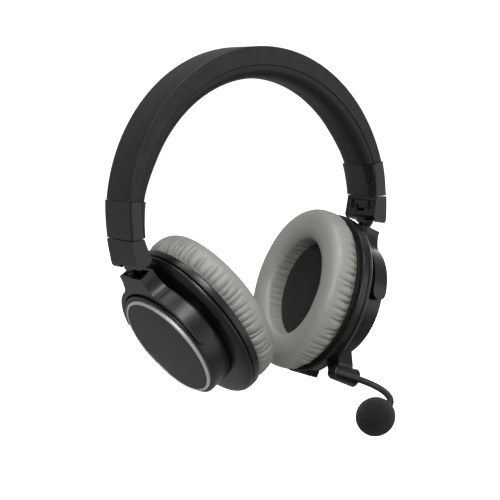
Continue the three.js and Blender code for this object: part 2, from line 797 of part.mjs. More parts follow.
function cableInlet(group) {
  const low = -47.8;
  const housing = new THREE.Shape([
    vec2(-14.8, -34),
    vec2(-13.4, low),
    vec2(-6.6, low),
    vec2(4, -42.5),
    vec2(5, -34),
  ]);
  const body = cut(
    plateAcrossX(housing, -17.2, -9.6),
    cupOutside(),
    rod("z", low - 1, low + 1.2, 1.7, [-13.4, -10, 0]),
  );
  piece(group, "cable_inlet", body, SATIN_BLACK);
}

// ---------------------------------------------------------------- assembly

function buildSide(parent, { name, turn, fold, swivel, tilt, ends }) {
  const fixed = new THREE.Group();
  fixed.rotation.z = rad(turn);
  parent.add(fixed);
  sleeve(fixed, name);
  detentSpring(fixed, name);
  sliderStrip(fixed, name);
  sliderBlock(fixed, name, ends);

  const folding = new THREE.Group();
  folding.position.set(HINGE.x, 0, HINGE.z);
  folding.rotation.y = rad(fold);
  fixed.add(folding);
  hingeStub(folding, name);

  const swivelling = new THREE.Group();
  swivelling.position.set(STUB_OFFSET, 0, -DROP);
  swivelling.rotation.z = rad(swivel);
  folding.add(swivelling);
  yoke(swivelling, name, ends);

  const tilting = new THREE.Group();
  tilting.position.z = PIVOT_HEIGHT;
  tilting.rotation.y = rad(tilt);
  swivelling.add(tilting);
  const centred = new THREE.Group();
  centred.position.z = -PIVOT_HEIGHT;
  tilting.add(centred);
  cup(centred, name);
  if (name === "left") {
    microphone(centred);
    cableInlet(centred);
  }
}

const headset = new THREE.Group();
const arch = new THREE.Group();
arch.position.z = -ARCH_TO_PAD;
headset.add(arch);
headband(arch);
SIDES.forEach((side) => buildSide(arch, side));

export default headset;
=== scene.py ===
"""Office headset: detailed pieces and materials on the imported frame.

Shapes are drawn in millimetres. Each one is drawn in the frame of its own part of the headset, and
that frame is placed from the joints.
"""

import json
import math
import random

import bmesh
import bpy
from mathutils import Matrix, Vector, noise


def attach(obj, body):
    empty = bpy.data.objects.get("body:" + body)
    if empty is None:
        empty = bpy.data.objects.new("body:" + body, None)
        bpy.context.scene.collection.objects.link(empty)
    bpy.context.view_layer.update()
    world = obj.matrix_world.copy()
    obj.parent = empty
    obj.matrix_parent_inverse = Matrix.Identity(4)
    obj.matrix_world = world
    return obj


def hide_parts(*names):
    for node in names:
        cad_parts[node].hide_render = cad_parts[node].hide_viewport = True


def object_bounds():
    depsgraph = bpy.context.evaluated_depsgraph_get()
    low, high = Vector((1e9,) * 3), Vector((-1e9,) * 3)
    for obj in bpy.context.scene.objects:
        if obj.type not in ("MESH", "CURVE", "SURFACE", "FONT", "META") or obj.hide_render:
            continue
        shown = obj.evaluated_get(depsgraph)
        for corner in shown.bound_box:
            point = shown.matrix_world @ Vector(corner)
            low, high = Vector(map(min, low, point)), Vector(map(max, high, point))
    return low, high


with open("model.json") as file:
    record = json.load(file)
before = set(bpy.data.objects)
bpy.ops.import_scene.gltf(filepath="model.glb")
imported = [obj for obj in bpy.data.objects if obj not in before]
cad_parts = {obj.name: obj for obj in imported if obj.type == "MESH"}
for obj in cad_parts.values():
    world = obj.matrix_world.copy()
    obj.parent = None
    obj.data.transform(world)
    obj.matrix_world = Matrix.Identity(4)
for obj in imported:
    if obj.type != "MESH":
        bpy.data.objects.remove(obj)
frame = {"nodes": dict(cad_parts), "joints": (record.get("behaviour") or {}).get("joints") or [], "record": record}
cad_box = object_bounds()

MM = 0.001

# ------------------------------------------------------------------ driving dimensions

HALF_WIDTH = 85
ARCH_FLATTEN = 8.3
ARCH_ROUND = 3.8
BAND_WIDTH = 24
BAND_WALL = 1.3
BAND_DEPTH_END = 5.1
BAND_DEPTH_GAIN = 4.9
PAD_RISE = 7.2
PAD_RISE_END = 5.8

ARC_X = -27.1
ARC_Z = -5.5
ARC_RADIUS = 112
SLEEVE_WIDTH = 26
SLEEVE_DEPTH = 7.2
SLEEVE_WALL = 1.3
SLEEVE_TOP = 7.5
SEAM = -2.6
SEAM_GAP = 0.25
BLOCK_HALF = SLEEVE_WIDTH / 2 - 0.1
BLOCK_WALL = 1.4
COVER_SCREW_Y = 7.2

KNUCKLE_RADIUS = 2.8
PIN_HOLE_RADIUS = 1.35
HINGE_X = 77.4
HINGE_Z = -21.4
COVER_SCREW_Z = HINGE_Z + 5.4
STUB_OFFSET = 3.3
DROP = 51.7
PIVOT_HEIGHT = 8.25
YOKE_OUTER = 36.6
YOKE_INNER = 33.6
YOKE_HALF_DEPTH = 4.5
COLLAR_TOP = 44.3
COLLAR_CORNER = (10.4, COLLAR_TOP)
NECK = (10.7, COLLAR_TOP - 3)
SHOULDER_ANGLE = math.radians(26.5)
POCKET_FLOOR = 37.2

DISC_FACE = 7.1
DISC_BACK = DISC_FACE - 2.6
DISC_RADIUS = 28.55
RING_INNER = 28.8
RING_OUTER = 30.3
TURRET_RADIUS = 32.5
LIP_RADIUS = 42.7
LIP_BACK = -13
LIP_FRONT = -17.6
OVAL = 3.6
CUSHION_RADIUS = 39.9
CUSHION_OVAL = 6
SHELL_FLARE = [(-7.8, 33.1), (-8.2, 36), (-9.1, 39.2), (-10.3, 41.5), (-11.6, LIP_RADIUS - 0.3)]

BARREL_Y = -29.6
BARREL_Z = -41
BARREL_RADIUS = 5.2
BARREL_CAP_RADIUS = 4.1
BARREL_INNER = -13.4
BARREL_OUTER = 3.2
DRUM_RADIUS = 3.95
DRUM_LENGTH = 8.7
DRUM_GAP = 0.2
GOOSENECK_RADIUS = 1.85
GOOSENECK_RIBS = 41 / 0.9  # 41 in nine tenths of its length
WINDSCREEN_AT = Vector((8.1, -50.8, -58.5))
WINDSCREEN_RADIUS = 10.5
WINDSCREEN_LENGTH = 11.1
BOOM_END = Vector((-0.8, -0.19, -0.57)).normalized()
INLET_BOTTOM = -46.4

PLEAT_SEED = 7

# ------------------------------------------------------------------ places, from the joints

JOINTS = {joint["name"]: joint for joint in frame["joints"]}
MOUNTS = {mount["name"]: mount for mount in frame["record"]["mounts"]}


def joint_at(name):
    return Vector(JOINTS[name]["pos_m"]) / MM


def joint_axis(name):
    return Vector(JOINTS[name]["axis"]).normalized()


def axes(origin, y_axis, z_axis):
    """The place whose Z axis is z_axis and whose Y axis lies towards y_axis."""
    z_axis = z_axis.normalized()
    x_axis = y_axis.cross(z_axis).normalized()
    y_axis = z_axis.cross(x_axis)
    turn = Matrix((x_axis, y_axis, z_axis)).transposed().to_4x4()
    return Matrix.Translation(origin) @ turn


class Side:
    """One side of the headset: its name, which way its own Y axis points, and its places."""

    def __init__(self, name, facing):
        self.name = name
        self.facing = facing
        back = Vector((0, facing, 0))
        up = joint_axis(f"swivel_{name}")
        arch_level = joint_at(f"size_{name}").z - ARC_Z
        cup_back = joint_axis(f"tilt_{name}")
        if cup_back.y * facing < 0:
            cup_back.negate()
        self.fixed = axes(Vector((0, 0, arch_level)), back, Vector((0, 0, 1)))
        self.folding = axes(joint_at(f"fold_{name}"), back, up)
        pivot = joint_at(f"tilt_{name}")
        cup_up = Vector(MOUNTS[f"disc_face_{name}"]["axis"]).cross(cup_back).normalized()
        self.fork = axes(pivot - up * PIVOT_HEIGHT, cup_back, up)
        self.cup = axes(pivot - cup_up * PIVOT_HEIGHT, cup_back, cup_up)


SIDES = [Side("left", 1), Side("right", -1)]
ARCH = SIDES[0].fixed

# ------------------------------------------------------------------ outlines


def rounded(outline, closed=True, steps=4):
    """The outline with its corners rounded.

    A point is (x, y), or (x, y, radius) for a round corner.
    """
    result = []
    count = len(outline)
    for i, point in enumerate(outline):
        here = Vector(point[:2])
        if len(point) == 2 or (not closed and i in (0, count - 1)):
            result.append(here)
            continue
        back = Vector(outline[i - 1][:2]) - here
        fore = Vector(outline[(i + 1) % count][:2]) - here
        reach = point[2] / math.tan(back.angle(fore) / 2)
        reach = min(reach, 0.49 * back.length, 0.49 * fore.length)
        start = here + back.normalized() * reach
        end = here + fore.normalized() * reach
        for k in range(steps + 1):
            u = k / steps
            result.append(start * (1 - u) ** 2 + here * (2 * u * (1 - u)) + end * u**2)
    return result


def spaced(start, end, count):
    return [start + (end - start) * i / count for i in range(count + 1)]


def smoothstep(value, low, high):
    share = min(1, max(0, (value - low) / (high - low)))
    return share * share * (3 - 2 * share)


# ------------------------------------------------------------------ solids, drawn in millimetres


def solid(points, faces):
    """A closed work object with its faces turned outwards."""
    mesh = bpy.data.meshes.new("work")
    mesh.from_pydata([tuple(p) for p in points], [], faces)
    shape = bmesh.new()
    shape.from_mesh(mesh)
    bmesh.ops.remove_doubles(shape, verts=shape.verts, dist=1e-4)
    bmesh.ops.recalc_face_normals(shape, faces=shape.faces)
    shape.to_mesh(mesh)
    shape.free()
    made = bpy.data.objects.new("work", mesh)
    bpy.context.scene.collection.objects.link(made)
    return made


def turned(profile, steps=144, oval=None, wave=None, growth=OVAL):
    """A profile of (along, radius) points turned about X.

    With oval, a pair of radii, it grows taller than wide from the first radius to the second, where
    its height is growth more than the radius. wave(point number, turn) gives how far a point moves
    outwards along the profile's own normal.
    """
    count = len(profile)
    points = []
    rows = []
    on_axis = [radius < 1e-6 for _, radius in profile]
    for i, (along, radius) in enumerate(profile):
        if on_axis[i]:
            rows.append([len(points)] * steps)
            points.append((along, 0, 0))
            continue
        before = Vector(profile[i - 1])
        after = Vector(profile[(i + 1) % count])
        way = (after - before).normalized()
        rows.append(list(range(len(points), len(points) + steps)))
        for j in range(steps):
            turn = 2 * math.pi * j / steps
            shift = wave(i, turn) if wave else 0
            out = radius - way.x * shift
            x = along + way.y * shift
            grow = 1
            if oval:
                grow += growth * min(1, max(0, (out - oval[0]) / (oval[1] - oval[0]))) / out
            points.append((x, out * math.sin(turn), out * math.cos(turn) * grow))
    faces = []
    last = count - 1 if on_axis[0] and on_axis[-1] else count
    for i in range(last):
        here, there = rows[i], rows[(i + 1) % count]
        for j in range(steps):
            k = (j + 1) % steps
            corners = dict.fromkeys((here[j], here[k], there[k], there[j]))
            if len(corners) > 2:
                faces.append(list(corners))
    return solid(points, faces)


def lofted(rings):
    """A closed solid through a row of rings of the same number of points."""
    count = len(rings[0])
    points = [p for ring in rings for p in ring]
    faces = []
    for i in range(len(rings) - 1):
        for j in range(count):
            k = (j + 1) % count
            faces.append([i * count + j, i * count + k, (i + 1) * count + k, (i + 1) * count + j])
    faces.append(list(range(count)))
    faces.append(list(range((len(rings) - 1) * count, len(rings) * count)))
    return solid(points, faces)


def plate(outline, axis, low, high):
    """A flat outline extruded along an axis. Its points are on the other two, in X, Y, Z order."""
    at = "XYZ".index(axis)

    def placed(p, level):
        values = list(p)
        values.insert(at, level)
        return Vector(values)

    return lofted([[placed(p, level) for p in outline] for level in (low, high)])


def block(low, high, corner=0.0):
    """A box, with its four edges along X rounded if corner is given."""
    outline = [(low[1], low[2]), (high[1], low[2]), (high[1], high[2]), (low[1], high[2])]
    if corner:
        outline = rounded([(*p, corner) for p in outline])
    return plate(outline, "X", low[0], high[0])


def rod(axis, low, high, radius, centre=(0, 0), steps=40, end_radius=None):
    """A cylinder or cone along an axis. centre is on the other two axes, in X, Y, Z order."""
    at = "XYZ".index(axis)
    rings = []
    for level, size in ((low, radius), (high, radius if end_radius is None else end_radius)):
        ring = []
        for j in range(steps):
            turn = 2 * math.pi * j / steps
            values = [centre[0] + size * math.cos(turn), centre[1] + size * math.sin(turn)]
            values.insert(at, level)
            ring.append(Vector(values))
        rings.append(ring)
    return lofted(rings)


def freeze(made):
    """Applies the object's modifiers to its mesh."""
    bpy.context.view_layer.update()
    seen = made.evaluated_get(bpy.context.evaluated_depsgraph_get())
    mesh = bpy.data.meshes.new_from_object(seen)
    made.modifiers.clear()
    made.data = mesh
    return made


def combined(base, tools, operation):
    for tool in tools:
        modifier = base.modifiers.new("boolean", "BOOLEAN")
        modifier.operation = operation
        modifier.solver = "EXACT"
        modifier.object = tool
        freeze(base)
        bpy.data.objects.remove(tool)
    return base


def cut(base, *tools):
    return combined(base, tools, "DIFFERENCE")


def join(base, *tools):
    return combined(base, tools, "UNION")


def sliced(made, point, normal):
    """Cuts away the side of a plane that its normal points to, and closes the cut."""
    shape = bmesh.new()
    shape.from_mesh(made.data)
    everything = shape.verts[:] + shape.edges[:] + shape.faces[:]
    found = bmesh.ops.bisect_plane(
        shape, geom=everything, plane_co=point, plane_no=normal, clear_outer=True
    )
    edges = [e for e in found["geom_cut"] if isinstance(e, bmesh.types.BMEdge)]
    bmesh.ops.contextual_create(shape, geom=edges)
    shape.to_mesh(made.data)
    shape.free()
    return made


def piece(name, made, place, body, slot, stands_for=(), bevel=0.0, sharp=35):
    """Names a work object, places it in metres, and gives it its material and its body."""
    mesh = made.data
    mesh.transform(Matrix.Scale(MM, 4) @ place)
    shape = bmesh.new()
    shape.from_mesh(mesh)
    if bevel:
        bmesh.ops.dissolve_limit(
            shape, angle_limit=math.radians(0.5), verts=shape.verts, edges=shape.edges
        )
    bmesh.ops.recalc_face_normals(shape, faces=shape.faces)
    shape.to_mesh(mesh)
    shape.free()
    mesh.shade_smooth()
    mesh.set_sharp_from_angle(angle=math.radians(sharp))
    made.name = name
    mesh.name = name
    mesh.materials.clear()
    mesh.materials.append(MATERIALS[slot])
    if bevel:
        edge = made.modifiers.new("edges", "BEVEL")
        edge.width = bevel * MM
        edge.segments = 3
        edge.limit_method = "ANGLE"
        edge.angle_limit = math.radians(sharp)
        edge.miter_outer = "MITER_ARC"
        normals = made.modifiers.new("normals", "WEIGHTED_NORMAL")
        normals.keep_sharp = True
    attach(made, body)
    if stands_for:
        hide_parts(*stands_for)
    return made


# ------------------------------------------------------------------ materials


class Surface:
    """A Principled material with short calls for its procedural detail."""

    def __init__(self, name, colour, roughness, **settings):
        self.material = bpy.data.materials.new(name)
        self.material.use_nodes = True
        self.nodes = self.material.node_tree.nodes
        self.links = self.material.node_tree.links
        self.shader = self.nodes["Principled BSDF"]
        self.set("Base Color", (*colour, 1))
        self.set("Roughness", roughness)
        for socket, value in settings.items():
            self.set(socket.replace("_", " "), value)
        self.place = self.nodes.new("ShaderNodeTexCoord").outputs["Object"]
        self.normal = None

    def set(self, socket, value):
        self.shader.inputs[socket].default_value = value

    def feed(self, target, value):
        """Links another node's output to a socket, or gives the socket a plain value."""
        if hasattr(value, "default_value"):
            self.links.new(value, target)
        else:
            target.default_value = value

    def node(self, kind, **inputs):
        made = self.nodes.new(kind)
        for socket, value in inputs.items():
            self.feed(made.inputs[socket.replace("_", " ")], value)
        return made

    def noise(self, scale, detail=3, roughness=0.5, stretch=None):
        where = self.place
        if stretch:
            where = self.node("ShaderNodeMapping", Vector=where, Scale=stretch).outputs["Vector"]
        made = self.node(
            "ShaderNodeTexNoise", Vector=where, Scale=scale, Detail=detail, Roughness=roughness
        )
        return made.outputs["Fac"]

    def cells(self, scale, feature):
        made = self.node("ShaderNodeTexVoronoi", Vector=self.place, Scale=scale)
        made.feature = feature
        return made.outputs["Distance"]

    def bands(self, scale, direction, distortion):
        made = self.node("ShaderNodeTexWave", Vector=self.place, Scale=scale, Distortion=distortion)
        made.bands_direction = direction
        return made.outputs["Fac"]

    def span(self, value, low, high, at_low=0.0, at_high=1.0):
        made = self.node("ShaderNodeMapRange", Value=value)
        made.inputs["From Min"].default_value = at_low
        made.inputs["From Max"].default_value = at_high
        made.inputs["To Min"].default_value = low
        made.inputs["To Max"].default_value = high
        return made.outputs["Result"]

    def maths(self, operation, first, second):
        made = self.nodes.new("ShaderNodeMath")
        made.operation = operation
        for target, value in zip(made.inputs, (first, second)):
            self.feed(target, value)
        return made.outputs[0]

    def bump(self, height, depth):
        """Raises the surface by up to depth, in millimetres, on top of the bumps it already has."""
        made = self.node("ShaderNodeBump", Height=height, Strength=1.0, Distance=depth * MM)
        if self.normal:
            self.links.new(self.normal, made.inputs["Normal"])
        self.normal = made.outputs["Normal"]
        self.links.new(self.normal, self.shader.inputs["Normal"])

    def vary_roughness(self, value, low, high):
        """Goes from a low roughness to a high one as the value goes from 0.3 to 0.7."""
        self.links.new(self.span(value, low, high, 0.3, 0.7), self.shader.inputs["Roughness"])

    def vary_colour(self, value, dark, light):
        """Mixes from a dark colour to a light one as the value goes from 0.3 to 0.7."""
        share = self.span(value, 0.0, 1.0, 0.3, 0.7)
        mix = self.nodes.new("ShaderNodeMix")
        mix.data_type = "RGBA"
        self.links.new(share, mix.inputs["Factor"])
        mix.inputs[6].default_value = (*dark, 1)
        mix.inputs[7].default_value = (*light, 1)
        self.links.new(mix.outputs[2], self.shader.inputs["Base Color"])


def grey(level):
    return (level, level, level)


def moulded_plastic(name, level, roughness, grain, specular=0.35):
    made = Surface(name, grey(level), roughness, Specular_IOR_Level=specular)
    made.vary_roughness(made.noise(140, 4), roughness - 0.015, roughness + 0.025)
    made.bump(made.noise(5200, 2, 0.6), grain)
    return made.material


def leatherette(name, dark, light, roughness, grain, specular=0.35):
    made = Surface(name, light, roughness, Specular_IOR_Level=specular)
    made.vary_colour(made.noise(90, 5), dark, light)
    made.vary_roughness(made.noise(300, 3), roughness - 0.05, roughness + 0.07)
    made.bump(made.cells(1500, "SMOOTH_F1"), grain)
    made.bump(made.noise(420, 4, 0.6), grain)
    return made.material


def brushed_metal(name, colour, roughness, stretch, scale=900):
    made = Surface(name, colour, roughness, Metallic=1.0)
    lines = made.noise(scale, 3, 0.6, stretch)
    made.vary_roughness(lines, roughness - 0.07, roughness + 0.1)
    made.bump(lines, 0.012)
    return made.material


def woven_cloth():
    made = Surface("speaker_cloth", grey(0.009), 0.95, Specular_IOR_Level=0.2, Sheen_Weight=0.08)
    across = made.bands(430, "Y", 0.3)
    along = made.bands(430, "Z", 0.3)
    threads = made.maths("MULTIPLY", across, along)
    made.bump(threads, 0.18)
    made.vary_colour(threads, grey(0.003), grey(0.009))
    return made.material


def open_foam():
    made = Surface("foam", grey(0.012), 1.0, Specular_IOR_Level=0.15, Sheen_Weight=0.12)
    pores = made.cells(1500, "DISTANCE_TO_EDGE")
    made.bump(pores, 0.35)
    made.vary_colour(made.noise(1700, 3, 0.7), grey(0.005), grey(0.018))
    return made.material


def soft_rubber():
    made = Surface("boom_rubber", grey(0.012), 0.55, Specular_IOR_Level=0.4)
    made.vary_roughness(made.noise(500, 3), 0.48, 0.62)
    made.bump(made.noise(2600, 3), 0.02)
    return made.material


MATERIALS = {
    "band_leatherette": leatherette("band_leatherette", grey(0.006), grey(0.009), 0.46, 0.05),
    "pad_leatherette": leatherette("pad_leatherette", grey(0.005), grey(0.007), 0.5, 0.05),
    "inner_plastic": moulded_plastic("inner_plastic", 0.012, 0.6, 0.03),
    "spring_steel": brushed_metal("spring_steel", grey(0.45), 0.35, (1, 12, 1)),
    "satin_black": moulded_plastic("satin_black", 0.004, 0.3, 0.01, 0.42),
    "gloss_black": moulded_plastic("gloss_black", 0.003, 0.22, 0.005, 0.42),
    "screw_steel": brushed_metal("screw_steel", grey(0.035), 0.4, (1, 1, 6)),
    "disc_grey": moulded_plastic("disc_grey", 0.028, 0.48, 0.012),
    "bright_trim": brushed_metal("bright_trim", grey(0.7), 0.46, (1, 1, 1), 1500),
    "driver_grey": moulded_plastic("driver_grey", 0.03, 0.5, 0.02),
    "speaker_cloth": woven_cloth(),
    "cushion_leatherette": leatherette(
        "cushion_leatherette", (0.248, 0.247, 0.228), (0.262, 0.26, 0.24), 0.42, 0.03, 0.5
    ),
    "boom_rubber": soft_rubber(),
    "foam": open_foam(),
}

# ------------------------------------------------------------------ arch and arc


def band_radius(t):
    return HALF_WIDTH - ARCH_FLATTEN * math.sin(t) + ARCH_ROUND * math.sin(t) ** 2


def band_depth(t):
    return BAND_DEPTH_END + BAND_DEPTH_GAIN * math.sin(t)


def band_point(t, across, depth):
    """The arch at polar angle t: across from its middle line, and depth in from its face."""
    radius = band_radius(t)
    growth = (2 * ARCH_ROUND * math.sin(t) - ARCH_FLATTEN) * math.cos(t)
    length = math.hypot(radius, growth)
    out_x = (radius * math.cos(t) + growth * math.sin(t)) / length
    out_z = (radius * math.sin(t) - growth * math.cos(t)) / length
    return Vector(
        (radius * math.cos(t) - depth * out_x, across, radius * math.sin(t) - depth * out_z)
    )


def arc_point(angle, across, depth):
    radius = ARC_RADIUS - depth
    turn = math.radians(angle)
    return Vector((ARC_X + radius * math.cos(turn), across, ARC_Z + radius * math.sin(turn)))


def along_arc(low, high, count, outline_at):
    """A solid along a side's arc. outline_at(angle) gives its section as (across, depth) points."""
    return lofted([[arc_point(a, *p) for p in outline_at(a)] for a in spaced(low, high, count)])


def over_arch(outline_at, stations=170):
    """A solid over the arch, trimmed to the tops of the two sleeves."""
    angles = [math.radians(a) for a in spaced(3, 177, stations)]
    made = lofted([[band_point(t, *p) for p in outline_at(t)] for t in angles])
    trim = math.radians(SLEEVE_TOP + 0.1)
    for way in (1, -1):
        edge = Vector((way * ARC_X, 0, ARC_Z))
        normal = Vector((way * math.sin(trim), 0, -math.cos(trim)))
        made = sliced(made, edge, normal)
    return made


def box_section(half, low, high):
    return [(-half, low), (half, low), (half, high), (-half, high)]


def channel(half, depth, wall, corner):
    """A channel section: a flat wall with a side wall along each edge, open on its inner side."""
    return rounded(
        [
            (-half, 0, corner),
            (half, 0, corner),
            (half, depth, 0.25),
            (half - wall, depth, 0.25),
            (half - wall, wall),
            (wall - half, wall),
            (wall - half, depth, 0.25),
            (-half, depth, 0.25),
        ]
    )


def crowned(turn):
    """The share of its full rise that a crowned face has, at a turn from one edge to the other."""
    return (1 - abs(math.cos(turn)) ** 3) ** 0.5


# ------------------------------------------------------------------ headband


def headband_cover():
    cover = over_arch(lambda t: channel(BAND_WIDTH / 2, band_depth(t), BAND_WALL, 0.7))
    piece("headband_outer_cover", cover, ARCH, "headband", "band_leatherette", ["headband_cover"])


def pad_section(half, base, rise):
    """Flat against the cover, with a soft shoulder at each edge and a crowned face."""
    section = [Vector((-half, base)), Vector((half, base))]
    for turn in spaced(0, math.pi, 26):
        section.append(Vector((half * math.cos(turn), base + rise * (0.24 + 0.76 * crowned(turn)))))
    return section


def headband_pad():
    gap = 0.2
    thin_until = math.sin(math.radians(6))
    full_from = math.sin(math.radians(25))

    def padding(t):
        share = smoothstep(math.sin(t), thin_until, full_from)
        rise = PAD_RISE_END + (PAD_RISE - PAD_RISE_END) * share
        return pad_section(BAND_WIDTH / 2 - 0.45, band_depth(t) + gap, rise - gap)

    pad = over_arch(padding)
    padded = piece("headband_padding", pad, ARCH, "headband", "pad_leatherette", ["headband_pad"])


# ------------------------------------------------------------------ sleeve and slider block


def screw(face, shank_end, y, z, head=1.5, shank=0.7):
    """A small cross-head screw along X, with its head towards -X."""
    made = join(
        rod("X", face, face + 0.8, head * 0.86, (y, z), 32, head),
        rod("X", face + 0.7, shank_end, shank, (y, z), 20),
    )
    reach = head * 0.6
    width = 0.17
    slots = [
        block((face - 0.1, y - across, z - tall), (face + 0.4, y + across, z + tall))
        for across, tall in ((reach, width), (width, reach))
    ]
    return cut(made, *slots)


SLEEVE_SCREW_AT = (-8.6, arc_point(2.4, 0, SLEEVE_DEPTH).z)
SLEEVE_FLOOR = SEAM + 0.8
BLOCK_TOP = arc_point(SEAM - SEAM_GAP, 0, 0).z

# Where a cut ends that goes right through a piece: along X, and below it along Z.
CUT_IN = 60
COVER_CUT_IN = 70
CUT_OUT = 90
CUT_BELOW = -40


def sleeve_outer(side):
    """The outer channel, with a floor at its lower end and a slot there for the slider's strip."""
    half = SLEEVE_WIDTH / 2
    wall = channel(half, SLEEVE_DEPTH, SLEEVE_WALL, 1.0)
    floor = box_section(half - 0.5, 0.6, SLEEVE_DEPTH - 0.1)
    strip = box_section(7.1, 2.8, 4.4)
    made = join(
        along_arc(SEAM, SLEEVE_TOP, 20, lambda angle: wall),
        along_arc(SEAM + 0.02, SLEEVE_FLOOR, 2, lambda angle: floor),
    )
    made = cut(made, along_arc(SEAM - 1, SLEEVE_FLOOR + 1, 2, lambda angle: strip))
    name = f"sleeve_outer_{side.name}"
    stands_for = [f"sleeve_outer_shell_{side.name}"]
    piece(name, made, side.fixed, "headband", "satin_black", stands_for, 0.12)


def sleeve_inner(side):
    """The hollow inner panel: crowned, higher at the top, and stepped down along its -Y edge."""
    half = SLEEVE_WIDTH / 2
    base = SLEEVE_DEPTH + 0.25
    wall = 1.2
    step_at = 0.72
    step = 0.75

    def section(angle, inset=0.0):
        rise = 1.3 + 2.7 * (angle - SEAM) / (SLEEVE_TOP - SEAM) - inset
        width = half - inset
        points = [(-width, base - inset), (width, base - inset)]
        for turn in spaced(0, math.pi, 30):
            fall = 0 if inset else step * smoothstep(-math.cos(turn), step_at, step_at + 0.03)
            height = rise * (0.25 + 0.75 * crowned(turn)) - fall
            points.append((width * math.cos(turn), base + height))
        return points

    made = cut(
        along_arc(SEAM, SLEEVE_TOP, 16, section),
        along_arc(SLEEVE_FLOOR, SLEEVE_TOP + 1, 16, lambda angle: section(angle, wall)),
    )
    made = cut(made, rod("X", CUT_IN, 81, 1.5, SLEEVE_SCREW_AT))
    name = f"sleeve_inner_{side.name}"
    stands_for = [f"sleeve_inner_shell_{side.name}"]
    piece(name, made, side.fixed, "headband", "satin_black", stands_for, 0.12)


def sleeve_screw(side):
    made = screw(74.6, 80.4, *SLEEVE_SCREW_AT, 1.2)
    name = f"sleeve_cross_screw_{side.name}"
    piece(name, made, side.fixed, "headband", "screw_steel", [f"sleeve_screw_{side.name}"])


def block_outline():
    """The block from the front: the arc, a round lower corner, and the swell round the hinge."""
    bottom = HINGE_Z - 4.9
    top = SEAM - SEAM_GAP
    outline = [arc_point(top, 0, SLEEVE_DEPTH).xz]
    outline += [arc_point(angle, 0, 0).xz for angle in spaced(top, -8.0, 10)]
    last = outline[-1]
    corner = Vector((last.x - 0.3, bottom))
    end = Vector((last.x - 2.2, bottom))
    for u in spaced(0.1, 1, 9):
        outline.append(last * (1 - u) ** 2 + corner * (2 * u * (1 - u)) + end * u**2)
    swell = KNUCKLE_RADIUS + 0.2
    for turn in spaced(-90, -215, 24):
        angle = math.radians(turn)
        x = HINGE_X + swell * math.cos(angle)
        z = HINGE_Z + swell * math.sin(angle)
        outline.append(Vector((x, z)))
    return outline


def slider_housing(side):
    """The outer half of the slider block, hollow, with room for the knuckle and the strip."""
    inside = BLOCK_HALF - BLOCK_WALL
    pin = (HINGE_X, HINGE_Z)
    notch = 5.1
    strip = box_section(6.8, 2.9, 4.3)
    shell = cut(
        plate(block_outline(), "Y", -BLOCK_HALF, BLOCK_HALF),
        block((CUT_IN, -inside, HINGE_Z + 0.2), (HINGE_X + 5, inside, BLOCK_TOP - 1.5)),
        block((CUT_IN, -inside, CUT_BELOW), (HINGE_X + 0.2, inside, HINGE_Z + 1)),
        rod("Y", -inside, inside, KNUCKLE_RADIUS + 0.2, pin, 64),
        block((CUT_IN, -notch, CUT_BELOW), (HINGE_X + 5.9, notch, HINGE_Z + 1)),
        rod("Y", 0.6 - BLOCK_HALF, BLOCK_HALF - 0.6, PIN_HOLE_RADIUS, pin),
        along_arc(-6.5, SEAM, 4, lambda angle: strip),
    )
    name = f"slider_housing_{side.name}"
    stands_for = [f"slider_block_{side.name}"]
    piece(name, shell, side.fixed, f"slider_{side.name}", "satin_black", stands_for, 0.45)


def screw_recess(y):
    """A recess in the knuckle cover: round below its screw, and pointed above it."""
    radius = 1.75
    turns = spaced(math.pi, 2 * math.pi, 20)
    drop = [(y + radius * math.cos(a), COVER_SCREW_Z + radius * math.sin(a)) for a in turns]
    drop += [(y + 1.6, COVER_SCREW_Z + 0.9), (y, COVER_SCREW_Z + 3.6, 0.3)]
    drop.append((y - 1.6, COVER_SCREW_Z + 0.9))
    return plate(rounded(drop), "X", COVER_CUT_IN, 77.1)


def knuckle_cover(side):
    """The cover on the inner side with the two outer knuckles, and the screws that hold it."""
    body = f"slider_{side.name}"
    inset = BLOCK_HALF - BLOCK_WALL - 0.25
    pin = (HINGE_X, HINGE_Z)
    slot = 3.05
    face_top = BLOCK_TOP - 1.75
    face = [
        (76.55, face_top, 0.3),
        (78.2, face_top),
        (78.2, HINGE_Z + 2.6),
        (HINGE_X - 2.65, HINGE_Z + 0.8),
        (75.9, HINGE_Z + 4.4, 3),
    ]
    made = join(
        plate(rounded(face), "Y", -inset, inset),
        rod("Y", -inset, inset, KNUCKLE_RADIUS, pin, 64),
    )
    made = cut(
        made,
        block((COVER_CUT_IN, -slot, CUT_BELOW), (CUT_OUT, slot, HINGE_Z + 3.9)),
        block((COVER_CUT_IN, -4.4, HINGE_Z + 4.0), (76.95, 4.4, HINGE_Z + 5.9), 0.3),
        rod("Y", -20, 20, PIN_HOLE_RADIUS, pin),
    )
    for y in (-COVER_SCREW_Y, COVER_SCREW_Y):
        made = cut(made, screw_recess(y))
        made = cut(made, rod("X", COVER_CUT_IN, CUT_OUT, 0.95, (y, COVER_SCREW_Z), 20))
        end = "front" if y * side.facing < 0 else "back"
        name = f"cover_screw_{end}_{side.name}"
        stands_for = [f"block_screw_{end}_{side.name}"]
        held = screw(76.0, 79.8, y, COVER_SCREW_Z)
        piece(name, held, side.fixed, body, "screw_steel", stands_for)
    name = f"knuckle_cover_{side.name}"
    piece(name, made, side.fixed, body, "gloss_black", [f"hinge_knuckle_cover_{side.name}"], 0.15)


# ------------------------------------------------------------------ stub and yoke


